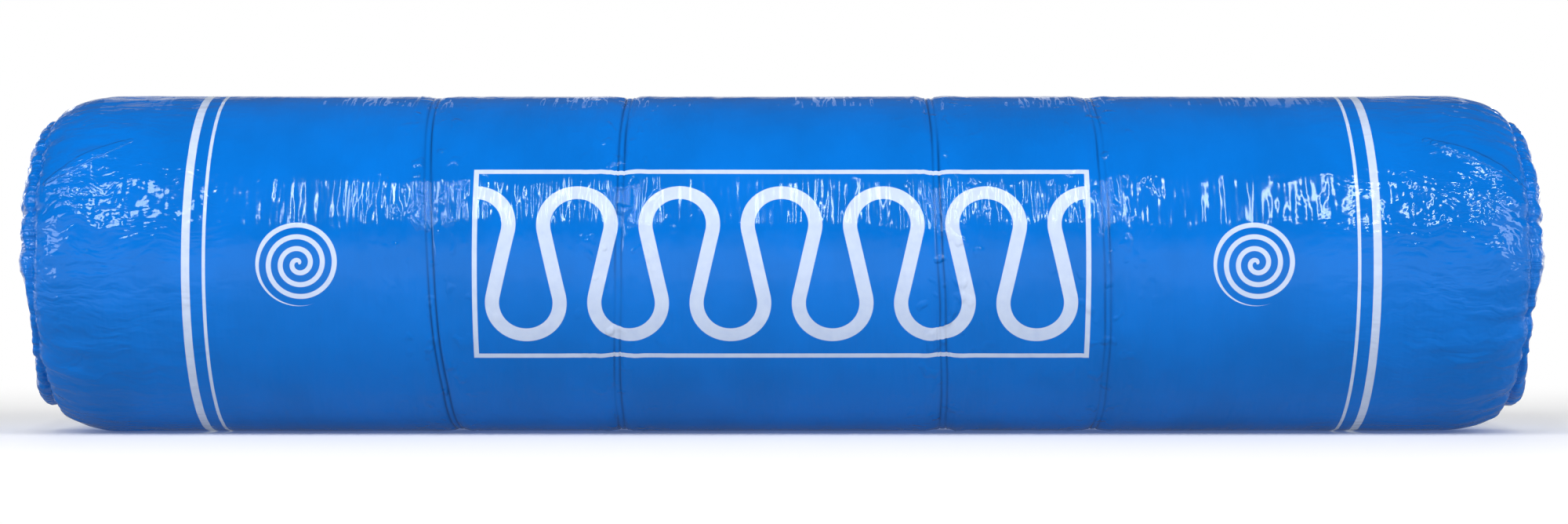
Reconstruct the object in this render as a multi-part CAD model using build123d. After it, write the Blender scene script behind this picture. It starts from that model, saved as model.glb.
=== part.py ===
"""A long roll of glass wool blanket, held by four straps and packed in a plastic film bag.

The roll lies on its side along X. The origin is on the floor under the middle of the roll, and +Z is up.
Every piece is turned: its half section is drawn as length along X and radius along Y.
"""
import os
from math import hypot

from build123d import *

# Driving dimensions, in millimetres

# The wool blanket, wound up tight round an empty eye
BLANKET_WIDTH = 1830.0
ROLL_DIAMETER = 425.0
EYE_DIAMETER = 50.0
LAYER_PITCH = 20.0
LAYER_GROOVE_WIDTH = 6.0
LAYER_GROOVE_DEPTH = 4.0

# The wool's edges, which the bag pulls round
SHOULDER_LENGTH = 78.0
SHOULDER_DROP = 24.0

# The straps, placed by shares of half the blanket's width, and the waist that each one pulls into the roll
STRAP_PLACE_SHARES = (-0.460, -0.215, 0.214, 0.426)
STRAP_WIDTH = 9.0
STRAP_THICKNESS = 0.7
STRAP_SIDE_ROOM = 0.5
WAIST_DEPTH = 4.5
WAIST_WIDTH = 70.0

# The film bag, whose ends are gathered over the wool and tucked into its eye
FILM_THICKNESS = 0.2
PUFF_HEIGHT = 23.0
PUFF_CREST_DIAMETER = 290.0
GATHER_HEIGHT = 7.0
TUCK_DIAMETER = 40.0
TUCK_DEPTH = 45.0
TUCK_FLARE = 8.0

# The room between pieces that lie on each other, and how far a cutting shape runs past what it cuts
FIT_CLEARANCE = 0.3
OVERRUN = 5.0

# Sizes worked out from the driving dimensions
HALF_WIDTH = BLANKET_WIDTH / 2
ROLL_RADIUS = ROLL_DIAMETER / 2
EYE_RADIUS = EYE_DIAMETER / 2
TUCK_RADIUS = TUCK_DIAMETER / 2
BARREL_HALF = HALF_WIDTH - SHOULDER_LENGTH
RIM_RADIUS = ROLL_RADIUS - SHOULDER_DROP
BAG_INNER_RADIUS = ROLL_RADIUS + FIT_CLEARANCE
BAG_RADIUS = BAG_INNER_RADIUS + FILM_THICKNESS
STRAP_RADIUS = ROLL_RADIUS - WAIST_DEPTH + FIT_CLEARANCE


def section(*half_outline):
    """A half section that is alike at both ends of the roll, from its outline between the middle and one end."""
    half = make_face(half_outline)
    return half + mirror(half, Plane.YZ)


def at_straps(shape):
    """Copies of a shape at each strap's place."""
    return [Pos(share * HALF_WIDTH, 0, 0) * shape for share in STRAP_PLACE_SHARES]


def waist(radius, depth):
    """What a strap squeezes out of a barrel's half section: flat under the strap, and rounded at its lips."""
    floor_half = STRAP_WIDTH / 2 + STRAP_SIDE_ROOM
    lip_half = WAIST_WIDTH / 2
    floor_radius = radius - depth
    top_radius = radius + OVERRUN
    return section(
        Line((0, floor_radius), (floor_half, floor_radius)),
        TangentArc((lip_half, radius), (floor_half, floor_radius), tangent=(-1, 0)),
        Polyline((lip_half, radius), (lip_half, top_radius), (0, top_radius), (0, floor_radius)),
    )


def end_face_points():
    """The wool's end face from rim to eye, with a V where each layer of blanket meets the next."""
    points = [(HALF_WIDTH, RIM_RADIUS)]
    radius = RIM_RADIUS - LAYER_PITCH
    while radius - LAYER_GROOVE_WIDTH / 2 > EYE_RADIUS:
        points += [
            (HALF_WIDTH, radius + LAYER_GROOVE_WIDTH / 2),
            (HALF_WIDTH - LAYER_GROOVE_DEPTH, radius),
            (HALF_WIDTH, radius - LAYER_GROOVE_WIDTH / 2),
        ]
        radius -= LAYER_PITCH
    return points + [(HALF_WIDTH, EYE_RADIUS)]


def wool_roll():
    """The wound blanket: a barrel with an eye, rounded shoulders, its layers on its ends and four waists."""
    barrel = section(
        Line((0, ROLL_RADIUS), (BARREL_HALF, ROLL_RADIUS)),
        TangentArc((BARREL_HALF, ROLL_RADIUS), (HALF_WIDTH, RIM_RADIUS), tangent=(1, 0)),
        Polyline(*end_face_points(), (0, EYE_RADIUS), (0, ROLL_RADIUS)),
    )
    return revolve(barrel - at_straps(waist(ROLL_RADIUS, WAIST_DEPTH)), Axis.X)


def strap():
    """One flat strap, closed round the roll."""
    middle_radius = STRAP_RADIUS + STRAP_THICKNESS / 2
    return revolve(Pos(0, middle_radius) * Rectangle(STRAP_WIDTH, STRAP_THICKNESS), Axis.X)


def bag_space():
    """The half section of the space in the bag, from the barrel to the bottom of the tucked tails."""
    shoulder_radius = hypot(SHOULDER_LENGTH, SHOULDER_DROP) ** 2 / (2 * SHOULDER_DROP)
    spread_share = FIT_CLEARANCE / shoulder_radius
    rim = (
        HALF_WIDTH + SHOULDER_LENGTH * spread_share,
        RIM_RADIUS + (shoulder_radius - SHOULDER_DROP) * spread_share,
    )
    crest = (HALF_WIDTH + PUFF_HEIGHT, PUFF_CREST_DIAMETER / 2)
    gather = (HALF_WIDTH + GATHER_HEIGHT, TUCK_RADIUS + TUCK_FLARE)
    mouth = (HALF_WIDTH, TUCK_RADIUS)
    bottom = HALF_WIDTH - TUCK_DEPTH
    space = section(
        Line((0, BAG_INNER_RADIUS), (BARREL_HALF, BAG_INNER_RADIUS)),
        TangentArc((BARREL_HALF, BAG_INNER_RADIUS), rim, tangent=(1, 0)),
        TangentArc(crest, rim, tangent=(0, 1)),
        TangentArc(crest, gather, tangent=(0, -1)),
        Polyline(gather, mouth, (bottom, TUCK_RADIUS), (bottom, 0), (0, 0), (0, BAG_INNER_RADIUS)),
    )
    strap_top = STRAP_RADIUS + STRAP_THICKNESS + FIT_CLEARANCE
    return space - at_straps(waist(BAG_INNER_RADIUS, BAG_INNER_RADIUS - strap_top))


def film_bag():
    """The bag: an even film all round the wool, drawn in over each strap and closed at both ends."""
    space = bag_space()
    axis_side = Pos(0, BAG_RADIUS) * Rectangle(2 * BLANKET_WIDTH, 2 * BAG_RADIUS)
    skin = offset(space, amount=FILM_THICKNESS, kind=Kind.INTERSECTION) & axis_side
    return revolve(skin - space, Axis.X)


def write(name, solid):
    """Lays a piece on the floor and writes it."""
    export_step(Pos(0, 0, BAG_RADIUS) * solid, os.path.join("parts", name + ".step"))


os.makedirs("parts", exist_ok=True)
write("wool_roll", wool_roll())
for number, ring in enumerate(at_straps(strap()), start=1):
    write(f"strap_{number}", ring)
write("film_bag", film_bag())
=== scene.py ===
"""The looks of an insulation roll in a film bag, laid out as a Blender add-on and run as a script.

The roll lies along X with its axis AXIS_HEIGHT above the floor, and its front faces -Y. Sizes are in metres.
"""
import math

import bmesh
import bpy
import numpy as np
from bpy.props import FloatProperty, FloatVectorProperty, IntProperty, PointerProperty
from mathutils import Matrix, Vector, noise


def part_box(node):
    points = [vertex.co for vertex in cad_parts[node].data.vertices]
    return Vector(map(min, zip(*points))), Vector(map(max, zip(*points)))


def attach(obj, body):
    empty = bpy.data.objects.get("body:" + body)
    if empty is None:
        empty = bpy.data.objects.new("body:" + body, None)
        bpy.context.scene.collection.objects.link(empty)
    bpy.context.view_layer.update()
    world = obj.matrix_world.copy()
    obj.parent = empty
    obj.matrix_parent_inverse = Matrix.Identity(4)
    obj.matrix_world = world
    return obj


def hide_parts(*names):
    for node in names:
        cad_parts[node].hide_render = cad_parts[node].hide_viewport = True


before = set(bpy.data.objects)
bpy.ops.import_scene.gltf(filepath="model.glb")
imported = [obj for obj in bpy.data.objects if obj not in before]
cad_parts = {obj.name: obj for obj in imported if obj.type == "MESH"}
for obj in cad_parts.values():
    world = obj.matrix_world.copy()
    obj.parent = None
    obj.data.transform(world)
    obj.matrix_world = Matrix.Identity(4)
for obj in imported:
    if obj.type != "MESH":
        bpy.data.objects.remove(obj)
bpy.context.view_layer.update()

bl_info = {
    "name": "Insulation roll",
    "version": (1, 0, 0),
    "blender": (4, 5, 0),
    "location": "View3D > Sidebar > Insulation roll",
    "description": "Builds a strapped roll of glass wool in a printed film bag, and a studio to show it in",
    "category": "Add Mesh",
}

# Sizes that the frame gives
FILM_LOW, FILM_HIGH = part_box("film_bag")
WOOL_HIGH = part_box("wool_roll")[1]
STRAP_NODES = sorted(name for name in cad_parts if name.startswith("strap_"))
STRAP_BOXES = [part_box(name) for name in STRAP_NODES]
STRAP_PLACES = [(low.x + high.x) / 2 for low, high in STRAP_BOXES]
STRAP_WIDTH = STRAP_BOXES[0][1].x - STRAP_BOXES[0][0].x
STRAP_OUTER_RADIUS = (STRAP_BOXES[0][1].z - STRAP_BOXES[0][0].z) / 2
FILM_RADIUS = (FILM_HIGH.z - FILM_LOW.z) / 2
AXIS_HEIGHT = FILM_LOW.z + FILM_RADIUS
WOOL_HALF = WOOL_HIGH.x
CREST_REACH = FILM_HIGH.x

# The ends of the bag, the turns of the wool and the straps, as the construction has them
SHOULDER_LENGTH = 0.078
SHOULDER_DROP = 0.024
CREST_RADIUS = 0.145
GATHER_INSET = 0.016
GATHER_RADIUS = 0.028
TUCK_RADIUS = 0.020
TUCK_DEPTH = 0.045
EYE_RADIUS = 0.025
LAYER_PITCH = 0.020
LAYER_GROOVE = 0.006
LAYER_GROOVE_DEPTH = 0.004
STRAP_THICKNESS = 0.0007
FILM_ROOM = 0.0003
BARREL_HALF = WOOL_HALF - SHOULDER_LENGTH
RIM_RADIUS = FILM_RADIUS - SHOULDER_DROP

# How far each strap's top and front stand off its square place, from left to right, and how far it wanders
STRAP_LEANS = ((-0.0135, -0.0050), (0.0040, -0.0015), (-0.0085, -0.0030), (-0.0040, 0.0050))
STRAP_WANDER = 0.0022

# The least angle between two faces of a strap that shows as an edge
SHARP_DEGREES = 40

# How closely the film and the wool are divided, in the stretches along them
AROUND_STEPS = 228
PLAIN_STEP = 0.009
FLANK_STEP = 0.004
CORE_STEP = 0.00121
END_STEP = 0.004
POCKET_STEP = 0.009
RIM_STEP = 0.0020
RIM_ZONE = 0.010
ZONE_HALF = 0.048
CORE_HALF = 0.0085
WOOL_AROUND_STEPS = 112
WOOL_SHOULDER_STEP = 0.008
WOOL_END_STEP = 0.0025

# How near two points are to count as one, and how near a point is to an edge to count as on it
MERGE_DISTANCE = 1e-6
EDGE_ROOM = 1e-4

# How far apart the patterns of two seeds lie in the noise
SEED_SHIFT = 17.3

# The two lines that the film is pressed into along each strap, from the strap's middle
LINE_PLACE = 0.0036
LINE_HALF_WIDTH = 0.0012
LINE_DEPTH = 0.0016

# The waist that a strap draws into the film, the lip beside it, and how far the creases and glints spread
WAIST_ROOM = 0.0005
WAIST_DEPTH_SHARE = 0.75
WAIST_STEEP_SHARE = 0.66
WAIST_STEEP_REACH = 0.0085
WAIST_WIDE_REACH = 0.028
LIP_HEIGHT = 0.0008
LIP_PLACE = 0.017
LIP_HALF_WIDTH = 0.011
CREASE_GAP = 0.002
CREASE_SPREAD = 0.030
GLINT_SPREAD = 0.032

# Where along the roll each kind of fold starts, and where it is at its full height
CRUMPLE_REACH = (WOOL_HALF - 0.355, WOOL_HALF - 0.055)
FAN_REACH = (WOOL_HALF - 0.115, WOOL_HALF + 0.010)
DEEP_FOLD_REACH = (WOOL_HALF - 0.030, WOOL_HALF + 0.003)
END_PULL_REACH = (WOOL_HALF - 0.365, WOOL_HALF - 0.015)
GATHER_REACH = (WOOL_HALF - 0.020, WOOL_HALF + 0.010)
GATHER_RADII = (TUCK_RADIUS, TUCK_RADIUS + 0.050)

# The wool under the film: its squeeze by a strap, the taper of its ends, and the wound face with its tufts
WOOL_STRAP_ROOM = 0.0034
WOOL_WAIST_REACH = 0.012
WOOL_END_REACH = 0.05
WOOL_RIM_ROOM = 0.004
WOOL_EYE_ROOM = 0.002
WOOL_TUFT_HEIGHT = 0.0012

# The groove and the crease along the wool's rim, the film that hangs out below it, and its sag
RIM_REACH = 0.03
RIM_GROOVE_INSET = 0.002
RIM_GROOVE_HALF_WIDTH = 0.0055
RIM_GROOVE_DEPTH = 0.0045
RIM_GROOVE_DEPTH_BELOW = 0.0070
RIM_CREASE_INSET = 0.003
RIM_CREASE_HALF_WIDTH = 0.0026
RIM_CREASE_DEPTH = 0.0028
RIM_WANDER = 0.0022
HANG_RADIUS = 0.171
HANG_HALF_WIDTH = 0.013
HANG_HEIGHT = 0.005
SAG_DEPTH = 0.014

# A deep fold's pinch and the lips beside it: their shares of its depth, places and half widths
PINCH_SHARE = 0.35
PINCH_HALF_WIDTH = 0.005
PINCH_LIP_SHARE = 0.15
PINCH_LIP_PLACE = 0.014
PINCH_LIP_HALF_WIDTH = 0.008

# Half widths of a long ridge and of a tall one's lens, at the tips and gained in the middle, and what is tall
RIDGE_TIP = 0.004
RIDGE_GAIN = 0.010
LENS_TIP = 0.001
LENS_GAIN = 0.008
TALL_RIDGE = 0.003

# Folds that pinch the ends, by side, angle in degrees above the front, and depth
DEEP_FOLDS = (
    (1, 17, 0.010), (1, -33, 0.006), (1, 74, 0.007), (1, 128, 0.009), (1, 191, 0.008), (1, 246, 0.010),
    (-1, 21, 0.010), (-1, -42, 0.007), (-1, 63, 0.006), (-1, 112, 0.008), (-1, 168, 0.009), (-1, 229, 0.008),
)

# Long ridges by the shoulders: side, then reach and angle where each starts and ends, and its height
SHOULDER_RIDGES = (
    (-1, 0.905, 29, 0.795, 46, 0.0035),
    (1, 0.790, 46, 0.905, 30, 0.0035),
    (1, 0.840, 40, 0.912, 16, 0.0025),
    (-1, 0.780, 24, 0.900, 14, 0.0015),
    (1, 0.800, -38, 0.905, -26, 0.0022),
    (-1, 0.760, -50, 0.905, -38, 0.0020),
    (1, 0.800, 105, 0.905, 92, 0.0030),
    (-1, 0.780, 118, 0.905, 131, 0.0032),
    (1, 0.770, 176, 0.905, 160, 0.0030),
    (-1, 0.790, 190, 0.905, 204, 0.0032),
    (1, 0.785, 222, 0.905, 236, 0.0026),
)

# The upright strips of light, and for each one its place across the roll, width and share of the brightness
STRIP_HEIGHT = 1.0
STRIP_DISTANCE = 2.0
KEY_DEGREES = 41
REAR_DEGREES = 147
STRIPS = (
    (-2.20, 0.040, 1.0), (-1.70, 0.032, 1.0), (-1.22, 0.180, 0.36), (-0.75, 0.040, 0.9), (-0.35, 0.032, 1.0),
    (0.08, 0.032, 0.9), (0.48, 0.032, 1.0), (0.90, 0.080, 0.6), (1.36, 0.040, 0.9), (1.80, 0.032, 1.0),
    (2.30, 0.040, 1.0),
)

# The watts that give a lamp of one square metre a brightness of 1
LAMP_WATTS = 4

# The other lamps: places from the ends of the roll or around its middle, and sizes
LIT_END = 0.9
SIDE_BOX_PLACE = (1.7, -1.3, 0.8)
SIDE_BOX_SIZE = (0.4, 1.2)
CORNER_DEGREES = (34, 46, 58, 72)
CORNER_DISTANCE = 2.8
CORNER_RISE = 0.3
CORNER_SIZE = (0.07, 0.6)
FILL_DEGREES = 158
FILL_DISTANCE = 2.6
FILL_SIZE = (4.4, 1.6)

# The paper: its flat reach, the curve and the top of its wall, and its divisions
PAPER_REACH = 18.0
PAPER_CURVE = 4.0
WALL_TOP = 9.0
PAPER_STEPS = 96
FLOOR_STEP = 3.0
CURVE_STEP = 0.6
WALL_STEP = 1.0

# How far off the roll the paper starts to turn white and is white, and how high up the wall it stays so
WHITE_OFF = (0.15, 1.8)
WHITE_HEIGHTS = (2.0, 9.0)
NEAR_WHITE_SHARE = 0.03
TOP_WHITE_SHARE = 0.08

# The glow that stands for light thrown back by the room, for diffuse rays and for those that see the paper
BOUNCE_GLOW = (0.38, 0.38, 0.38, 1)
SEEN_GLOW = (0.03, 0.03, 0.03, 1)
WHITE = (1, 1, 1, 1)

# The camera, at the photo's viewing angle
CAMERA_LENS = 76
CAMERA_SENSOR = 36
CAMERA_PLACE = (0.003, -4.22, AXIS_HEIGHT + 0.002)


def length(name, description, default):
    """A size that a user may change."""
    return FloatProperty(name=name, description=description, default=default, unit="LENGTH", precision=4)


def share(name, description, default):
    """A number from 0 to 1 that a user may change."""
    return FloatProperty(name=name, description=description, default=default, min=0, max=1, subtype="FACTOR")


def colour(name, description, default):
    """A colour that a user may change, in linear light."""
    return FloatVectorProperty(name=name, description=description, default=default, size=3, min=0, max=1,
                               subtype="COLOR")


def brightness(name, description, default):
    """A brightness that a user may change."""
    return FloatProperty(name=name, description=description, default=default, min=0)


class FilmBagSettings(bpy.types.PropertyGroup):
    """The film bag's colours and the sizes of its folds."""

    film_colour: colour("Film", "Colour of the bare film", (0.0005, 0.162, 0.640))
    ink_colour: colour("Ink", "Colour of the print", (0.590, 0.680, 0.860))
    roughness: share("Roughness", "Roughness of the smooth film", 0.035)
    slack: length("Slack", "Height of the wide, shallow waves in the film", 0.0007)
    crease_height: length("Crease height", "Height of the creases beside a strap", 0.0022)
    crumple_height: length("Crumple height", "Height of the crumples towards the ends", 0.0011)
    fan_height: length("Fan height", "Height of the folds that fan over the shoulders", 0.0030)
    pleat_height: length("Pleat height", "Height of the pleats in the gathered ends", 0.0075)
    fill: share("Fill", "How tight the wool fills the bag", 0.9)


class WoolSettings(bpy.types.PropertyGroup):
    """The wool blanket's colours and the room around it."""

    wool_colour: colour("Wool", "Colour of the glass wool", (0.72, 0.52, 0.16))
    binder_colour: colour("Binder", "Colour of the wool where it has more binder", (0.50, 0.30, 0.07))
    inset: length("Inset", "Room that the squeezed wool leaves under the film's folds", 0.0020)
    end_inset: length("End inset", "Room that the wool leaves under the gathered ends", 0.0120)


class StrapSettings(bpy.types.PropertyGroup):
    """The straps' colour and how finely they are divided."""

    strap_colour: colour("Strap", "Colour of the strap", (0.78, 0.77, 0.72))
    around_steps: IntProperty(name="Steps", description="Faces around a strap", default=192, min=24)


class StageSettings(bpy.types.PropertyGroup):
    """The studio's light and paper."""

    paper_colour: colour("Paper", "Colour of the floor", (0.36, 0.36, 0.36))
    key_radiance: brightness("Key", "Brightness of the front strips", 35.0)
    side_radiance: brightness("Sides", "Brightness of the side softboxes", 5.0)
    rear_radiance: brightness("Rear", "Brightness of the rear strips", 0.5)
    corner_radiance: brightness("Corner strips", "Brightness of the strips behind each end", 4.0)
    fill_radiance: brightness("Fill", "Brightness of the rear softbox", 1.5)
    ambient: brightness("Ambient", "Brightness of the room", 0.10)


# Shader maths


class Value:
    """A socket that takes part in sums: each operator adds a Math node to its material."""

    def __init__(self, shader, socket):
        self.shader = shader
        self.socket = socket

    def __add__(self, other):
        return self.shader.math("ADD", self, other)

    def __radd__(self, other):
        return self.shader.math("ADD", other, self)

    def __sub__(self, other):
        return self.shader.math("SUBTRACT", self, other)

    def __rsub__(self, other):
        return self.shader.math("SUBTRACT", other, self)

    def __mul__(self, other):
        return self.shader.math("MULTIPLY", self, other)

    def __rmul__(self, other):
        return self.shader.math("MULTIPLY", other, self)

    def __truediv__(self, other):
        return self.shader.math("DIVIDE", self, other)

    def __pow__(self, other):
        return self.shader.math("POWER", self, other)

    def __lt__(self, other):
        return self.shader.math("LESS_THAN", self, other)

    def __abs__(self):
        return self.shader.math("ABSOLUTE", self)


class Shader:
    """A material that is written as expressions."""

    def __init__(self, name):
        self.material = bpy.data.materials.new(name)
        self.material.use_nodes = True
        self.tree = self.material.node_tree
        self.tree.nodes.clear()
        self.output = self.tree.nodes.new("ShaderNodeOutputMaterial")

    def node(self, kind, settings=None, inputs=None, output=0):
        """Adds a node, with its settings first and then its sockets' values or links. Gives one output."""
        made = self.tree.nodes.new(kind)
        for name, value in (settings or {}).items():
            setattr(made, name, value)
        for name, value in (inputs or {}).items():
            if isinstance(value, Value):
                self.tree.links.new(value.socket, made.inputs[name])
            else:
                made.inputs[name].default_value = value
        return Value(self, made.outputs[output])

    def math(self, operation, *values):
        return self.node("ShaderNodeMath", {"operation": operation}, dict(enumerate(values)))

    def position(self):
        return self.node("ShaderNodeTexCoord", output="Object")

    def axes(self, vector):
        """The three numbers of a vector."""
        split = self.node("ShaderNodeSeparateXYZ", inputs={0: vector}).socket.node
        return [Value(self, split.outputs[index]) for index in range(3)]

    def attribute(self, name):
        return self.node("ShaderNodeAttribute", {"attribute_name": name}, output="Fac")

    def stretched(self, vector, scale):
        return self.node("ShaderNodeVectorMath", {"operation": "MULTIPLY"}, {0: vector, 1: scale})

    def noise(self, vector, scale, detail=2.0, roughness=0.5):
        """Noise from about 0 to 1, with its own scale along each axis."""
        return self.node("ShaderNodeTexNoise", inputs={
            "Vector": self.stretched(vector, scale), "Scale": 1.0, "Detail": detail, "Roughness": roughness})

    def cells(self, vector, scale):
        """The distance from the middle of each cell of a random pattern, so that its sides are slopes."""
        return self.node("ShaderNodeTexVoronoi", inputs={
            "Vector": self.stretched(vector, scale), "Scale": 1.0})

    def warped(self, vector, scale, amount):
        """Places pushed about by noise, so that lines through them wander."""
        push = self.node("ShaderNodeTexNoise", inputs={"Vector": vector, "Scale": scale, "Detail": 1.0},
                         output="Color")
        centred = self.node("ShaderNodeVectorMath", {"operation": "SUBTRACT"}, {0: push, 1: (0.5, 0.5, 0.5)})
        return self.node("ShaderNodeVectorMath", {"operation": "MULTIPLY_ADD"}, {
            0: centred, 1: (amount, amount, amount), 2: vector})

    def between(self, value, start, end, low=0.0, high=1.0):
        """Goes smoothly from low to high as the value goes from start to end."""
        return self.node("ShaderNodeMapRange", {"interpolation_type": "SMOOTHSTEP"}, {
            "Value": value, "From Min": start, "From Max": end, "To Min": low, "To Max": high})

    def mix(self, factor, first, second):
        """A colour between two others."""
        return self.node("ShaderNodeMix", {"data_type": "RGBA"}, {0: factor, 6: first, 7: second}, output=2)

    def bump(self, height):
        """A normal from a height in metres."""
        return self.node("ShaderNodeBump", inputs={"Strength": 1.0, "Distance": 1.0, "Height": height})

    def surface(self, shader_value):
        self.tree.links.new(shader_value.socket, self.output.inputs["Surface"])
        return self.material


def opaque(rgb):
    """A colour with its alpha."""
    return (*rgb, 1.0)


# The print: plain signs that any maker could use

WAVE_HALF_PITCH = 0.062
WAVE_LOOP = 0.041
WAVE_RISE = 0.048
WAVE_STROKE = 0.017
WAVE_HALF_LENGTH = 6 * WAVE_HALF_PITCH
FRAME_HALF_HEIGHT = 0.118
FRAME_STROKE = 0.006
ROLL_SIGN_PLACES = (-0.585, 0.575)
ROLL_SIGN_RADIUS = 0.052
ROLL_SIGN_PITCH = 0.0145
ROLL_SIGN_STROKE = 0.006
RING_PLACES = ((-0.722, 0.010), (-0.700, 0.004), (0.700, 0.004), (0.722, 0.010))
INK_EDGE = 0.0004


def inked(shader, distance, stroke):
    """1 on a line of a given stroke and 0 off it."""
    return shader.between(distance, stroke / 2 + INK_EDGE, stroke / 2 - INK_EDGE)


def wave_sign(shader, along, across):
    """A looping line in a frame, which is how drawings show wool insulation."""
    folded = shader.math("PINGPONG", along, WAVE_HALF_PITCH)
    below = across < 0
    side = folded + below * (WAVE_HALF_PITCH - 2 * folded)
    rise = abs(across) - WAVE_RISE
    to_loop = abs((side * side + rise * rise) ** 0.5 - WAVE_LOOP)
    neck = Vector((WAVE_HALF_PITCH / 2, -WAVE_RISE))
    opening = math.asin(WAVE_LOOP / neck.length)
    leg_length = neck.length * math.cos(opening)
    heading = math.atan2(-neck.y, -neck.x) - opening
    leg_x, leg_y = math.cos(heading), math.sin(heading)
    up_leg = (side - neck.x) * leg_x + (rise - neck.y) * leg_y
    off_leg = abs((side - neck.x) * leg_y - (rise - neck.y) * leg_x)
    on_leg = up_leg < leg_length
    line = inked(shader, on_leg * off_leg + (1 - on_leg) * to_loop, WAVE_STROKE)
    out = shader.math("MAXIMUM", abs(along) - WAVE_HALF_LENGTH, abs(across) - FRAME_HALF_HEIGHT)
    return shader.math("MAXIMUM", line * (out < 0), inked(shader, abs(out), FRAME_STROKE))


def roll_sign(shader, along, across):
    """A wound-up line, as a roll shows its end."""
    radius = (along * along + across * across) ** 0.5
    turn = shader.math("ARCTAN2", across, along) / (2 * math.pi)
    off = shader.math("PINGPONG", radius - turn * ROLL_SIGN_PITCH, ROLL_SIGN_PITCH / 2)
    return inked(shader, off, ROLL_SIGN_STROKE) * (radius < ROLL_SIGN_RADIUS)


def printed(shader, x, around):
    """Where the film has ink. The print comes twice around the roll."""
    quarter = math.pi * FILM_RADIUS / 2
    across = shader.math("WRAP", around, quarter, -quarter)
    ink = wave_sign(shader, x, across)
    for place in ROLL_SIGN_PLACES:
        ink = shader.math("MAXIMUM", ink, roll_sign(shader, x - place, across))
    for place, stroke in RING_PLACES:
        ink = shader.math("MAXIMUM", ink, inked(shader, abs(x - place), stroke))
    return ink


# Finishes


# The film's fine relief: heights in metres, and how often each kind comes in a metre along X, Y and Z
STREAK_HEIGHT, STREAK_SCALE = 0.0017, (85, 13, 13)
FACET_HEIGHT, FACET_SCALE = 0.0012, (48, 9, 9)
BLISTER_HEIGHT, BLISTER_SCALE = 0.0022, (55, 45, 45)
CRINKLE_HEIGHT, CRINKLE_SCALE = 0.0009, (36, 40, 40)
CRUMPLE_HEIGHT, CRUMPLE_SCALE = 0.0026, (20, 62, 62)
WORM_HEIGHT, WORM_SCALE = 0.0013, (45, 150, 150)
CRUSHED_HEIGHT, CRUSHED_SCALE = 0.0030, (60, 60, 60)
PLEAT_DEPTH, PLEAT_SCALE = 0.0080, (13, 13, 1.5)
LENS_HEIGHT = 0.0009

# The film's colour in its deeper clouds, and the painted shade in the lines that it is pressed into on a
# strap, as shares of its own colour
CLOUD_SHARE = 0.86
PAINTED_SHADE_SHARE = 0.35
PAINTED_SHADE_FACTOR = 0.85

# The film's gloss
FILM_IOR = 1.40
FILM_GLINT = (0.78, 0.93, 1.0, 1.0)
ROUGHNESS_SPREAD = 0.07
INK_ROUGHNESS = 0.06


def scaled(rgb, factor):
    """A darker colour of the same kind."""
    return tuple(channel * factor for channel in rgb)


def strap_relief(shader, place):
    """Streaks round the roll all over the film, and facets and blisters beside the straps."""
    pull = shader.attribute("strap_pull")
    patches = shader.between(shader.noise(place, (6, 4, 4), 1.0), 0.36, 0.62, 0.45, 1.25)
    calm = 1 - 0.5 * shader.attribute("end_pull")
    streaks = shader.noise(place, STREAK_SCALE, 1.0, 0.4) * (patches + 0.4 * pull) * calm * STREAK_HEIGHT
    facets = shader.cells(shader.warped(place, 14.0, 0.02), FACET_SCALE) * pull * FACET_HEIGHT
    blisters = shader.between(shader.noise(place, BLISTER_SCALE, 1.0), 0.58, 0.76) * pull * BLISTER_HEIGHT
    return streaks + facets + blisters


def end_relief(shader, place):
    """Crumples and fine worm-like lines towards the ends, and the edges of the lenses on the tall ridges."""
    pull = shader.attribute("end_pull")
    wandering = shader.warped(place, 22.0, 0.03)
    lens = shader.between(shader.attribute("lens"), 0.0, 0.4)
    crumples = shader.noise(wandering, CRUMPLE_SCALE, 1.0, 0.5) * pull * CRUMPLE_HEIGHT
    worms = shader.noise(wandering, WORM_SCALE, 1.0, 0.5) * pull * WORM_HEIGHT
    return crumples + worms * (1 + lens) + lens * LENS_HEIGHT


def gather_relief(shader, place, x, y, up):
    """Fine pleats that run in to the eye, and the crushed film between them."""
    gather = shader.attribute("gather")
    outward = (y * y + up * up) ** 0.5
    spokes = shader.node("ShaderNodeCombineXYZ", inputs={0: y / outward, 1: up / outward, 2: outward * 4 + x})
    pleats = abs(shader.noise(spokes, PLEAT_SCALE, 2.0, 0.5) - 0.5) * gather * -PLEAT_DEPTH
    crushed = shader.cells(shader.warped(place, 30.0, 0.015), CRUSHED_SCALE) * gather * CRUSHED_HEIGHT
    return pleats + crushed


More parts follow.
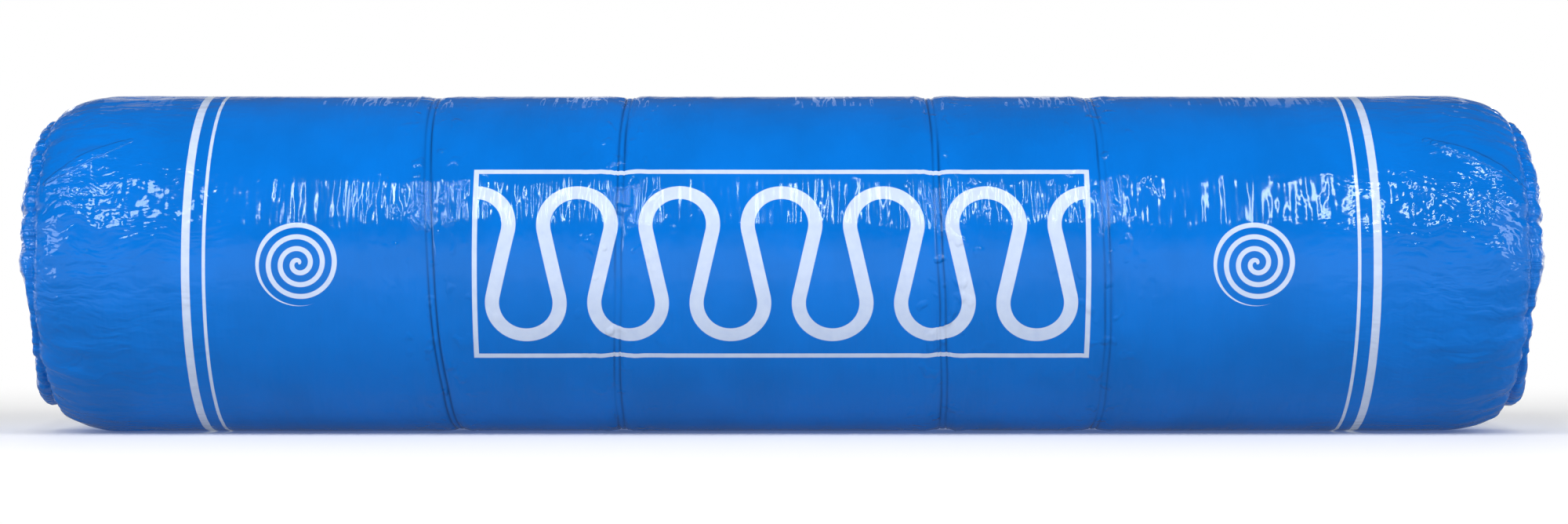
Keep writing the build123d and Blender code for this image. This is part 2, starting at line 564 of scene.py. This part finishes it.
def film_finish(look):
    """Glossy blue film with its print, and painted shade along the lines that it is pressed into on the
    straps.
    """
    shader = Shader("blue_film")
    place = shader.position()
    x, y, z = shader.axes(place)
    up = z - AXIS_HEIGHT
    around = shader.math("ARCTAN2", up, 0 - y) * FILM_RADIUS
    crinkle = shader.noise(place, CRINKLE_SCALE, 1.0, 0.45) * CRINKLE_HEIGHT
    relief = strap_relief(shader, place) + crinkle + end_relief(shader, place)
    relief = relief + gather_relief(shader, place, x, y, up)
    ink = printed(shader, x, around) * shader.noise(place, (90, 90, 90), 3.0) ** 0.12
    cloud = shader.between(shader.noise(place, (9, 6, 6), 3.0), 0.3, 0.7)
    film = shader.mix(cloud, opaque(scaled(look.film_colour, CLOUD_SHARE)), opaque(look.film_colour))
    # Painted shade: the film's colour is darkened along the lines pressed into it on each strap, where the
    # creases lie in shade
    pressed = opaque(scaled(look.film_colour, PAINTED_SHADE_SHARE))
    film = shader.mix(shader.attribute("strap_line") * PAINTED_SHADE_FACTOR, film, pressed)
    dulled = shader.noise(place, (14, 30, 30), 4.0) * ROUGHNESS_SPREAD + ink * INK_ROUGHNESS
    return shader.surface(shader.node("ShaderNodeBsdfPrincipled", inputs={
        "Base Color": shader.mix(ink, film, opaque(look.ink_colour)),
        "Roughness": look.roughness + dulled,
        "IOR": FILM_IOR,
        "Specular Tint": FILM_GLINT,
        "Normal": shader.bump(relief),
    }))


# The wool's tufts and fibres, and a strap's gloss, wear and pressed diamonds
FIBRE_HEIGHT = 0.0012
TUFT_HEIGHT = 0.002
WOOL_ROUGHNESS = 0.95
DIAMOND_HALF_PITCH = 0.0011
DIAMOND_SLOPE = 0.25
WORN_SHARE = 0.8
STRAP_ROUGHNESS = 0.45
STRAP_ROUGHNESS_SPREAD = 0.2


def wool_finish(look):
    """Matted yellow glass wool."""
    shader = Shader("glass_wool")
    place = shader.position()
    fibres = shader.noise(place, (160, 420, 420), 5.0, 0.7)
    tufts = shader.noise(place, (40, 60, 60), 4.0, 0.6)
    tint = shader.between(fibres * 0.6 + tufts * 0.4, 0.32, 0.62)
    return shader.surface(shader.node("ShaderNodeBsdfPrincipled", inputs={
        "Base Color": shader.mix(tint, opaque(look.binder_colour), opaque(look.wool_colour)),
        "Roughness": WOOL_ROUGHNESS,
        "Normal": shader.bump(fibres * FIBRE_HEIGHT + tufts * TUFT_HEIGHT),
    }))


def strap_finish(look):
    """Pale strap with a pressed diamond pattern."""
    shader = Shader("pressed_strap")
    place = shader.position()
    x, y, z = shader.axes(place)
    around = shader.math("ARCTAN2", z - AXIS_HEIGHT, 0 - y) * STRAP_OUTER_RADIUS
    one_way = shader.math("PINGPONG", around + x, DIAMOND_HALF_PITCH)
    other_way = shader.math("PINGPONG", around - x, DIAMOND_HALF_PITCH)
    pressed = shader.math("MINIMUM", one_way, other_way)
    worn = shader.noise(place, (120, 60, 60), 3.0)
    dull = scaled(look.strap_colour, WORN_SHARE)
    return shader.surface(shader.node("ShaderNodeBsdfPrincipled", inputs={
        "Base Color": shader.mix(shader.between(worn, 0.3, 0.7), opaque(dull), opaque(look.strap_colour)),
        "Roughness": STRAP_ROUGHNESS + worn * STRAP_ROUGHNESS_SPREAD,
        "Normal": shader.bump(pressed * DIAMOND_SLOPE),
    }))


def paper_finish(look):
    """White studio paper, which keeps the roll's shadow.

    Far off the roll it is plain white to all rays that see it. Near the roll it is white to the camera,
    and to other rays it is paper of its own colour. Its glow stands for the light of a white room.
    """
    shader = Shader("studio_paper")
    x, y, z = shader.axes(shader.position())
    off = shader.math("MAXIMUM", abs(y), abs(x) - CREST_REACH)
    spread = shader.between(off, *WHITE_OFF, NEAR_WHITE_SHARE, 1.0)
    far = spread * shader.between(z, *WHITE_HEIGHTS, 1.0, TOP_WHITE_SHARE)
    paths = shader.node("ShaderNodeLightPath").socket.node.outputs
    camera, glossy, through = (
        Value(shader, paths[name]) for name in ("Is Camera Ray", "Is Glossy Ray", "Is Transmission Ray"))
    straight = shader.math("MAXIMUM", camera, shader.math("MAXIMUM", glossy, through))
    paper = shader.mix(camera, opaque(look.paper_colour), WHITE)
    plain = shader.node("ShaderNodeBsdfDiffuse", inputs={"Color": paper})
    glow = shader.mix(straight, BOUNCE_GLOW, SEEN_GLOW)
    glowing = shader.node("ShaderNodeEmission", inputs={"Color": glow, "Strength": 1.0})
    lit = shader.node("ShaderNodeAddShader", inputs={0: plain, 1: glowing})
    white = shader.node("ShaderNodeEmission", inputs={"Color": WHITE, "Strength": 1.0})
    return shader.surface(shader.node("ShaderNodeMixShader", inputs={0: straight * far, 1: lit, 2: white}))


# Modelling


class Pen:
    """Draws a half section in the XZ plane as one line of edges, x along the roll and z out from it."""

    def __init__(self, bm, tip):
        self.bm = bm
        self.tip = tip

    def run(self, x, z, step):
        """Goes straight to a point in equal steps."""
        way = Vector((x, 0, z)) - self.tip.co
        steps = max(1, round(way.length / step))
        self.go(self.tip.co, 0, way / steps, steps)

    def arc(self, centre_x, centre_z, angle, step):
        """Goes round a centre in equal steps. A positive angle turns x towards z."""
        centre = Vector((centre_x, 0, centre_z))
        steps = max(1, round(abs(angle) * (self.tip.co - centre).length / step))
        self.go(centre, angle, (0, 0, 0), steps)

    def go(self, centre, angle, shift, steps):
        drawn = bmesh.ops.spin(self.bm, geom=[self.tip], cent=centre, axis=(0, -1, 0), dvec=shift,
                               angle=angle, steps=steps)
        self.tip = next(item for item in drawn["geom_last"] if isinstance(item, bmesh.types.BMVert))


def fade(values, start, end):
    """Goes smoothly from 0 at start to 1 at end."""
    part = np.clip((values - start) / (end - start), 0, 1)
    return part * part * (3 - 2 * part)


def swell(values, width):
    """A rounded bump of height 1 about zero."""
    return np.exp(-((values / width) ** 2))


def ripples(points, scale, seed):
    """Smooth noise from -1 to 1 at each point, with its own scale along each axis."""
    moved = points * np.array(scale) + SEED_SHIFT * seed
    return np.array([noise.noise(Vector(point)) for point in moved])


def spin_round(bm, steps, axis=(1, 0, 0)):
    """Turns the drawn half section into a skin, round the roll's axis unless another is given."""
    bmesh.ops.spin(bm, geom=bm.verts[:] + bm.edges[:], cent=(0, 0, 0), axis=axis, dvec=(0, 0, 0),
                   angle=2 * math.pi, steps=steps, use_merge=True)
    bmesh.ops.remove_doubles(bm, verts=bm.verts[:], dist=MERGE_DISTANCE)
    bmesh.ops.recalc_face_normals(bm, faces=bm.faces[:])
    bm.normal_update()


def draw_barrel(pen, side, radius):
    """Draws from the middle to one end of the barrel, finely where a strap is."""
    places = sorted(abs(place) for place in STRAP_PLACES if place * side > 0)
    for place in places:
        pen.run(side * (place - ZONE_HALF), radius, PLAIN_STEP)
        pen.run(side * (place - CORE_HALF), radius, FLANK_STEP)
        pen.run(side * (place + CORE_HALF), radius, CORE_STEP)
        pen.run(side * (place + ZONE_HALF), radius, FLANK_STEP)
    pen.run(side * BARREL_HALF, radius, PLAIN_STEP)


def draw_shoulder(pen, side, radius, step):
    """Draws the round shoulder between the barrel and its end."""
    bend = (SHOULDER_LENGTH ** 2 + SHOULDER_DROP ** 2) / (2 * SHOULDER_DROP)
    turn = math.asin(SHOULDER_LENGTH / bend)
    pen.arc(side * BARREL_HALF, radius - bend, -side * (turn - RIM_ZONE / bend), step)
    pen.arc(side * BARREL_HALF, radius - bend, -side * RIM_ZONE / bend, RIM_STEP)


def draw_film_end(pen, side):
    """Draws the puffed end, from the rim over its crest to the bottom of the tucked pocket."""
    rim_rise = CREST_REACH - WOOL_HALF
    rim_bend = (rim_rise ** 2 + (RIM_RADIUS - CREST_RADIUS) ** 2) / (2 * rim_rise)
    rim_turn = math.asin((RIM_RADIUS - CREST_RADIUS) / rim_bend)
    pen.arc(side * (CREST_REACH - rim_bend), CREST_RADIUS, -side * RIM_ZONE / rim_bend, RIM_STEP)
    pen.arc(side * (CREST_REACH - rim_bend), CREST_RADIUS, -side * (rim_turn - RIM_ZONE / rim_bend), END_STEP)
    fall = CREST_RADIUS - GATHER_RADIUS
    end_bend = (GATHER_INSET ** 2 + fall ** 2) / (2 * GATHER_INSET)
    pen.arc(side * (CREST_REACH - end_bend), CREST_RADIUS, -side * math.asin(fall / end_bend), END_STEP)
    pen.run(side * WOOL_HALF, TUCK_RADIUS, END_STEP)
    pen.run(side * (WOOL_HALF - TUCK_DEPTH), TUCK_RADIUS, POCKET_STEP)
    pen.run(side * (WOOL_HALF - TUCK_DEPTH), 0, POCKET_STEP)


class Skin:
    """The points of a turned skin, in the roll's own terms."""

    def __init__(self, bm):
        self.points = np.array([vertex.co[:] for vertex in bm.verts])
        self.normals = np.array([vertex.normal[:] for vertex in bm.verts])
        self.along = self.points[:, 0]
        self.reach = np.abs(self.along)
        self.radius = np.hypot(self.points[:, 1], self.points[:, 2])
        self.angle = np.arctan2(self.points[:, 2], -self.points[:, 1])
        self.pocket = (self.reach < WOOL_HALF - EDGE_ROOM) & (self.radius < TUCK_RADIUS + EDGE_ROOM)
        self.puff = (self.radius < RIM_RADIUS + EDGE_ROOM) & (self.reach > WOOL_HALF - EDGE_ROOM)
        self.inward = np.clip((RIM_RADIUS - self.radius) / (RIM_RADIUS - TUCK_RADIUS), 0, 1) * self.puff
        self.spokes = np.column_stack([np.cos(self.angle), np.sin(self.angle), np.sign(self.along)])

    def strap_distance(self, place):
        return np.abs(self.along - place)

    def nearest_strap(self):
        """How far each point is from the middle of the strap next to it."""
        return np.min([self.strap_distance(place) for place in STRAP_PLACES], axis=0)

    def turned_from(self, degrees):
        """How far round from a given angle each point is, in radians, to either side."""
        return (self.angle - math.radians(degrees) + math.pi) % (2 * math.pi) - math.pi

    def lean(self):
        """How far each point moves along the roll with the leaning straps."""
        moved = np.zeros(len(self.along))
        for place, (top, front) in zip(STRAP_PLACES, STRAP_LEANS):
            held = 1 - fade(self.strap_distance(place), CORE_HALF, ZONE_HALF)
            wander = STRAP_WANDER * ripples(self.spokes + place, (2.6, 2.6, 0), 34)
            moved += held * (top * np.sin(self.angle) + front * np.cos(self.angle) + wander)
        return moved

    def placed(self, heights):
        """The points raised along their normals, off the straps, leaned with them and set on the floor."""
        lowest = STRAP_OUTER_RADIUS + FILM_ROOM - FILM_RADIUS
        on_strap = self.nearest_strap() < STRAP_WIDTH / 2 + FILM_ROOM
        on_film = self.radius > FILM_RADIUS - EDGE_ROOM
        heights = np.where(on_strap & on_film, np.maximum(heights, lowest), heights)
        points = self.points + self.normals * heights[:, None]
        points[:, 0] += self.lean()
        points[:, 2] = np.maximum(points[:, 2] + AXIS_HEIGHT, FILM_LOW.z)
        return points


def film_waists(skin):
    """The film drawn in over each strap, most of all along the two lines that are pressed into it."""
    depth = WAIST_DEPTH_SHARE * (FILM_RADIUS - STRAP_OUTER_RADIUS - WAIST_ROOM)
    uneven = ripples(skin.points, (9, 9, 9), 3)
    heights = np.zeros(len(skin.along))
    for place in STRAP_PLACES:
        off = np.maximum(skin.strap_distance(place) - LINE_PLACE, 0)
        steep = WAIST_STEEP_SHARE * np.exp(-off / WAIST_STEEP_REACH)
        wide = (1 - WAIST_STEEP_SHARE) * np.exp(-off / WAIST_WIDE_REACH)
        heights -= depth * (steep + wide) * (1 + 0.3 * uneven * (off > 0))
        heights += LIP_HEIGHT * swell(off - LIP_PLACE, LIP_HALF_WIDTH) * (1 + uneven)
    return heights - LINE_DEPTH * strap_lines(skin) * (1 + 0.4 * uneven)


def strap_lines(skin):
    """How strongly the film is pressed into the two lines over each strap, and 0 off them."""
    strength = np.clip(0.75 + 1.2 * ripples(skin.points, (150, 9, 9), 33), 0.15, 1.2)
    lines = sum(swell(skin.strap_distance(place) - LINE_PLACE, LINE_HALF_WIDTH) for place in STRAP_PLACES)
    return strength * lines


def strap_pull(skin, spread):
    """1 at a strap, falling away beside it."""
    return sum(np.exp(-skin.strap_distance(place) / spread) for place in STRAP_PLACES)


def strap_creases(skin, look):
    """Creases that run round the roll beside each strap."""
    lines = np.abs(ripples(skin.points, (75, 15, 15), 5))
    lines += 0.5 * np.abs(ripples(skin.points, (40, 30, 30), 6))
    beside = skin.nearest_strap() > STRAP_WIDTH / 2 + CREASE_GAP
    return look.crease_height * (0.5 - 1.6 * lines) * strap_pull(skin, CREASE_SPREAD) * beside


def end_crumples(skin, look):
    """Crumples that run along the roll, more of them towards its ends."""
    folds = ripples(skin.points, (13, 45, 45), 7) + 0.5 * ripples(skin.points, (30, 85, 85), 8)
    return look.crumple_height * folds * fade(skin.reach, *CRUMPLE_REACH) * (1 - skin.pocket)


def spoke_folds(skin, spacing, drift, crest, seed):
    """Folds that run out from the roll's axis and drift a little round it, with sharp crests."""
    slant = np.column_stack([np.zeros(len(skin.along))] * 2 + [drift])
    return crest - np.abs(ripples(skin.spokes * (spacing, spacing, 40) + slant, (1, 1, 1), seed))


def shoulder_fan(skin, look):
    """Folds that fan over the shoulders into the gathered ends."""
    folds = spoke_folds(skin, 8, skin.reach * 5, 0.6, 11)
    small = spoke_folds(skin, 17, skin.reach * 10, 0.6, 12)
    rise = fade(skin.reach, *FAN_REACH) * (1 - fade(skin.inward, 0.15, 0.5)) * (1 - skin.pocket)
    return look.fan_height * (2 * folds + 0.9 * small - 1.2) * rise


def end_pleats(skin, look):
    """The gathered film's pleats, which run in to the tucked pocket."""
    broad = spoke_folds(skin, 3.1, skin.inward * 1.1, 0.5, 21)
    folds = spoke_folds(skin, 7.5, skin.inward * 1.65, 0.5, 22)
    fine = spoke_folds(skin, 15, skin.inward * 3.3, 0.5, 23)
    crushed = 0.35 - np.abs(ripples(skin.points, (26, 26, 26), 24))
    rise = fade(skin.inward, 0.0, 0.3) * (1 - 0.8 * fade(skin.inward, 0.55, 0.98))
    gathered = 0.12 + 0.88 * fade(skin.inward, 0.3, 0.6)
    shape = 0.8 * broad + gathered * (folds + 0.5 * fine - 0.4) + 0.30 * crushed - 0.45
    return look.pleat_height * shape * rise * skin.puff


def rim_notch(skin):
    """The film pulled in along the wool's rim, and hanging out below it at the bottom."""
    under = np.clip(-np.sin(skin.angle), 0, 1) ** 1.5
    uneven = ripples(skin.points, (20, 20, 20), 31)
    at_rim = (skin.reach > WOOL_HALF - RIM_REACH) & ~skin.pocket
    groove = swell(skin.radius - (RIM_RADIUS - RIM_GROOVE_INSET), RIM_GROOVE_HALF_WIDTH) * at_rim
    groove_depth = (RIM_GROOVE_DEPTH + RIM_GROOVE_DEPTH_BELOW * under) * (1 + 0.5 * uneven)
    wander = RIM_WANDER * ripples(skin.spokes, (4, 4, 9), 32)
    off_crease = np.abs(skin.radius - RIM_RADIUS + RIM_CREASE_INSET - wander)
    crease = np.clip(1 - off_crease / RIM_CREASE_HALF_WIDTH, 0, 1) * at_rim
    crease_depth = RIM_CREASE_DEPTH * (1 + 0.4 * uneven)
    hang = swell(skin.radius - HANG_RADIUS, HANG_HALF_WIDTH) * skin.puff
    return hang * HANG_HEIGHT * under - groove * groove_depth - crease * crease_depth


def end_sag(skin):
    """The gathered film drawn in towards the wool on the lower half of each end, but not at its bottom."""
    low = np.sin(math.pi * np.clip(-np.sin(skin.angle), 0, 1) ** 1.2)
    window = fade(skin.inward, 0.0, 0.12) * (1 - fade(skin.inward, 0.6, 0.95)) * skin.puff
    return -SAG_DEPTH * low * window


def deep_folds(skin):
    """The few folds that pinch each end deeply, with a lip on both sides."""
    heights = np.zeros(len(skin.along))
    window = fade(skin.reach, *DEEP_FOLD_REACH) * (1 - fade(skin.inward, 0.3, 0.75)) * (1 - skin.pocket)
    for side, degrees, depth in DEEP_FOLDS:
        off = np.abs(skin.turned_from(degrees)) * skin.radius
        pinch = PINCH_SHARE * swell(off, PINCH_HALF_WIDTH)
        lip = PINCH_LIP_SHARE * swell(off - PINCH_LIP_PLACE, PINCH_LIP_HALF_WIDTH)
        heights += depth * (lip - pinch) * window * (skin.along * side > 0)
    return heights


def shoulder_ridges(skin):
    """Long ridges of slack film that run up to the shoulders, and the flat lenses on the tall ones.

    A lens is 1 in its middle and 0 at its edge, and less than 0 off it.
    """
    heights = np.zeros(len(skin.along))
    lenses = np.full(len(skin.along), -1.0)
    for side, start_reach, start_degrees, end_reach, end_degrees, height in SHOULDER_RIDGES:
        middle = (start_degrees + end_degrees) / 2
        spot = np.column_stack([skin.reach, skin.turned_from(middle) * FILM_RADIUS])
        start = np.array([start_reach, math.radians(start_degrees - middle) * FILM_RADIUS])
        end = np.array([end_reach, math.radians(end_degrees - middle) * FILM_RADIUS])
        run = end - start
        part = np.clip((spot - start) @ run / (run @ run), 0, 1)
        off = np.linalg.norm(spot - start - part[:, None] * run, axis=1)
        body = np.sin(math.pi * np.clip(part, 0.02, 0.98)) ** 0.6
        roof = np.clip(1 - off / (RIDGE_TIP + RIDGE_GAIN * body), 0, 1)
        here = (skin.along * side > 0) & ~skin.puff & ~skin.pocket
        heights += height * roof * body * here
        if height > TALL_RIDGE:
            lens = 1 - off / (LENS_TIP + LENS_GAIN * body)
            lenses = np.where(here, np.maximum(lenses, lens), lenses)
    return heights, lenses


def keep_numbers(bm, name, values):
    """Keeps a number for each vertex, for the finish to read."""
    layer = bm.verts.layers.float.new(name)
    for vertex, value in zip(bm.verts, values):
        vertex[layer] = value


def move_to(bm, points):
    for vertex, point in zip(bm.verts, points):
        vertex.co = point


def make_piece(bm, name, finish, nodes):
    """Makes a finished mesh a piece of the roll that stands for its nodes."""
    for face in bm.faces:
        face.smooth = True
    mesh = bpy.data.meshes.new(name)
    bm.to_mesh(mesh)
    bm.free()
    mesh.materials.append(finish)
    piece = bpy.data.objects.new(name, mesh)
    bpy.context.scene.collection.objects.link(piece)
    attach(piece, "root")
    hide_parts(*nodes)
    return piece


# Operators


class ROLL_OT_add_wool(bpy.types.Operator):
    """Add the wound wool blanket, squeezed by the straps"""

    bl_idname = "insulation_roll.add_wool"
    bl_label = "Wool blanket"

    def execute(self, context):
        look = context.scene.roll_wool
        radius = WOOL_HIGH.z - AXIS_HEIGHT - look.inset
        bm = bmesh.new()
        middle = bm.verts.new((0, 0, radius))
        for side in (-1, 1):
            pen = Pen(bm, middle)
            draw_barrel(pen, side, radius)
            draw_shoulder(pen, side, radius, WOOL_SHOULDER_STEP)
            pen.run(side * WOOL_HALF, EYE_RADIUS, WOOL_END_STEP)
        open_ends = [vertex for vertex in bm.verts if len(vertex.link_edges) == 1]
        bmesh.ops.contextual_create(bm, geom=open_ends)
        spin_round(bm, WOOL_AROUND_STEPS)
        skin = Skin(bm)
        heights = -look.end_inset * fade(skin.reach, BARREL_HALF - WOOL_END_REACH, WOOL_HALF)
        squeeze = radius - STRAP_OUTER_RADIUS + STRAP_THICKNESS + WOOL_STRAP_ROOM
        for place in STRAP_PLACES:
            off = np.maximum(skin.strap_distance(place) - STRAP_WIDTH, 0)
            heights -= squeeze * np.exp(-off / WOOL_WAIST_REACH)
        on_end = (skin.radius < RIM_RADIUS - WOOL_RIM_ROOM) & (skin.radius > EYE_RADIUS + WOOL_EYE_ROOM)
        turn = (skin.radius / LAYER_PITCH + skin.angle * np.sign(skin.along) / (2 * math.pi)) % 1
        groove = LAYER_GROOVE_DEPTH * swell((turn - 0.5) * LAYER_PITCH, LAYER_GROOVE / 2) * on_end
        tufts = WOOL_TUFT_HEIGHT * ripples(skin.points, (70, 70, 70), 41) * on_end
        move_to(bm, skin.placed(heights - groove + tufts))
        make_piece(bm, "wool_blanket", wool_finish(look), ["wool_roll"])
        return {"FINISHED"}


class ROLL_OT_add_straps(bpy.types.Operator):
    """Add the four flat straps, leaning as they were pulled tight"""

    bl_idname = "insulation_roll.add_straps"
    bl_label = "Straps"

    def execute(self, context):
        look = context.scene.roll_strap
        finish = strap_finish(look)
        inner = STRAP_OUTER_RADIUS - STRAP_THICKNESS
        for node, place in zip(STRAP_NODES, STRAP_PLACES):
            bm = bmesh.new()
            start = bm.verts.new((place - STRAP_WIDTH / 2, 0, inner))
            pen = Pen(bm, start)
            pen.run(place + STRAP_WIDTH / 2, inner, STRAP_WIDTH / 2)
            pen.run(place + STRAP_WIDTH / 2, STRAP_OUTER_RADIUS, STRAP_THICKNESS)
            pen.run(place - STRAP_WIDTH / 2, STRAP_OUTER_RADIUS, STRAP_WIDTH / 2)
            bmesh.ops.contextual_create(bm, geom=[pen.tip, start])
            spin_round(bm, look.around_steps)
            skin = Skin(bm)
            move_to(bm, skin.placed(np.zeros(len(skin.along))))
            piece = make_piece(bm, node + "_band", finish, [node])
            piece.data.set_sharp_from_angle(angle=math.radians(SHARP_DEGREES))
        return {"FINISHED"}


class ROLL_OT_add_film_bag(bpy.types.Operator):
    """Add the printed film bag, drawn in over the straps and gathered at its ends"""

    bl_idname = "insulation_roll.add_film_bag"
    bl_label = "Film bag"

    def execute(self, context):
        look = context.scene.roll_film
        bm = bmesh.new()
        middle = bm.verts.new((0, 0, FILM_RADIUS))
        for side in (-1, 1):
            pen = Pen(bm, middle)
            draw_barrel(pen, side, FILM_RADIUS)
            draw_shoulder(pen, side, FILM_RADIUS, END_STEP)
            draw_film_end(pen, side)
        spin_round(bm, AROUND_STEPS)
        skin = Skin(bm)
        ridges, lenses = shoulder_ridges(skin)
        slack = look.slack * ripples(skin.points, (5, 7, 7), 1) * (1 - skin.pocket)
        heights = (
            slack
            + film_waists(skin)
            + strap_creases(skin, look)
            + end_crumples(skin, look)
            + shoulder_fan(skin, look)
            + end_pleats(skin, look)
            + rim_notch(skin)
            + end_sag(skin)
            + deep_folds(skin)
            + ridges
        )
        move_to(bm, skin.placed(heights))
        gathered = fade(skin.reach, *GATHER_REACH) * fade(skin.radius, *GATHER_RADII) * (1 - skin.pocket)
        keep_numbers(bm, "strap_pull", np.clip(strap_pull(skin, GLINT_SPREAD), 0, 1))
        keep_numbers(bm, "strap_line", strap_lines(skin))
        keep_numbers(bm, "lens", lenses)
        keep_numbers(bm, "end_pull", fade(skin.reach, *END_PULL_REACH))
        keep_numbers(bm, "gather", gathered)
        piece = make_piece(bm, "film_bag_skin", film_finish(look), ["film_bag"])
        return {"FINISHED"}


def add_softbox(name, place, aim, size, radiance):
    """A flat lamp at a place, facing a point. It lights the roll and shows in it, but not to the camera."""
    lamp = bpy.data.lights.new(name, "AREA")
    lamp.shape = "RECTANGLE"
    lamp.size, lamp.size_y = size
    lamp.energy = LAMP_WATTS * radiance * size[0] * size[1]
    box = bpy.data.objects.new(name, lamp)
    box.location = place
    box.rotation_euler = (Vector(aim) - Vector(place)).to_track_quat("-Z", "Y").to_euler()
    box.visible_camera = False
    bpy.context.scene.collection.objects.link(box)
    return box


class ROLL_OT_set_stage(bpy.types.Operator):
    """Set the studio: paper, softboxes, the room's light and the camera"""

    bl_idname = "insulation_roll.set_stage"
    bl_label = "Studio"

    def execute(self, context):
        look = context.scene.roll_stage
        self.lay_paper(look)
        self.hang_lamps(look)
        self.light_room(context.scene, look)
        self.set_camera(context.scene)
        context.scene.view_settings.view_transform = "Standard"
        return {"FINISHED"}

    def lay_paper(self, look):
        """Lays a round floor that curves up into a high wall."""
        bm = bmesh.new()
        pen = Pen(bm, bm.verts.new((0, 0, 0)))
        pen.run(PAPER_REACH, 0, FLOOR_STEP)
        pen.arc(PAPER_REACH, PAPER_CURVE, math.pi / 2, CURVE_STEP)
        pen.run(PAPER_REACH + PAPER_CURVE, WALL_TOP, WALL_STEP)
        spin_round(bm, PAPER_STEPS, axis=(0, 0, 1))
        for face in bm.faces:
            face.smooth = True
        mesh = bpy.data.meshes.new("studio_paper")
        bm.to_mesh(mesh)
        bm.free()
        mesh.materials.append(paper_finish(look))
        paper = bpy.data.objects.new("studio_paper", mesh)
        bpy.context.scene.collection.objects.link(paper)

    def around(self, degrees, distance):
        """A point in the middle plane, by its angle above the front."""
        turn = math.radians(degrees)
        return Vector((0, -distance * math.cos(turn), AXIS_HEIGHT + distance * math.sin(turn)))

    def hang_lamps(self, look):
        """Hangs strips in front and behind, softboxes and corner strips by the ends, and a fill behind."""
        aim = Vector((0, 0, AXIS_HEIGHT))
        rows = (
            ("key_strip", KEY_DEGREES, look.key_radiance),
            ("rear_strip", REAR_DEGREES, look.rear_radiance),
        )
        for name, degrees, radiance in rows:
            middle = self.around(degrees, STRIP_DISTANCE)
            for across, width, share_of_light in STRIPS:
                shift = Vector((across, 0, 0))
                size = (width, STRIP_HEIGHT)
                add_softbox(name, middle + shift, aim + shift, size, radiance * share_of_light)
        for side in (-1, 1):
            end = Vector((side * LIT_END, 0, AXIS_HEIGHT))
            place = end + Vector(SIDE_BOX_PLACE) * Vector((side, 1, 1))
            add_softbox("side_softbox", place, end, SIDE_BOX_SIZE, look.side_radiance)
        for side in (-1, 1):
            for degrees in CORNER_DEGREES:
                turn = math.radians(degrees)
                out = CORNER_DISTANCE * Vector((side * math.sin(turn), math.cos(turn), 0))
                place = out + Vector((0, 0, AXIS_HEIGHT + CORNER_RISE))
                add_softbox("corner_strip", place, aim, CORNER_SIZE, look.corner_radiance)
        place = self.around(FILL_DEGREES, FILL_DISTANCE)
        fill = add_softbox("rear_fill", place, aim, FILL_SIZE, look.fill_radiance)
        fill.visible_glossy = False

    def light_room(self, scene, look):
        """Gives the room an even white light."""
        scene.world = bpy.data.worlds.new("room")
        scene.world.use_nodes = True
        background = scene.world.node_tree.nodes["Background"]
        background.inputs["Color"].default_value = WHITE
        background.inputs["Strength"].default_value = look.ambient

    def set_camera(self, scene):
        """Sets the camera level in front of the roll."""
        camera = bpy.data.cameras.new("camera")
        camera.lens = CAMERA_LENS
        camera.sensor_width = CAMERA_SENSOR
        seat = bpy.data.objects.new("camera", camera)
        seat.location = CAMERA_PLACE
        seat.rotation_euler = (math.pi / 2, 0, 0)
        scene.collection.objects.link(seat)
        scene.camera = seat


class VIEW3D_PT_insulation_roll(bpy.types.Panel):
    """The pieces of the roll and their settings"""

    bl_label = "Insulation roll"
    bl_idname = "VIEW3D_PT_insulation_roll"
    bl_space_type = "VIEW_3D"
    bl_region_type = "UI"
    bl_category = "Insulation roll"

    def draw(self, context):
        for operator, settings in STEPS:
            self.layout.operator(operator.bl_idname)
            group = getattr(context.scene, settings)
            for name in group.bl_rna.properties.keys():
                if name not in ("rna_type", "name"):
                    self.layout.prop(group, name)


SETTINGS = {
    "roll_wool": WoolSettings,
    "roll_strap": StrapSettings,
    "roll_film": FilmBagSettings,
    "roll_stage": StageSettings,
}
STEPS = (
    (ROLL_OT_add_wool, "roll_wool"),
    (ROLL_OT_add_straps, "roll_strap"),
    (ROLL_OT_add_film_bag, "roll_film"),
    (ROLL_OT_set_stage, "roll_stage"),
)
CLASSES = (*SETTINGS.values(), *(operator for operator, settings in STEPS), VIEW3D_PT_insulation_roll)


def register():
    for item in CLASSES:
        bpy.utils.register_class(item)
    for name, group in SETTINGS.items():
        setattr(bpy.types.Scene, name, PointerProperty(type=group))


def unregister():
    for name in SETTINGS:
        delattr(bpy.types.Scene, name)
    for item in reversed(CLASSES):
        bpy.utils.unregister_class(item)


def main():
    """Builds every piece and the stage."""
    register()
    bpy.ops.insulation_roll.add_wool()
    bpy.ops.insulation_roll.add_straps()
    bpy.ops.insulation_roll.add_film_bag()
    bpy.ops.insulation_roll.set_stage()


if __name__ == "__main__":
    main()
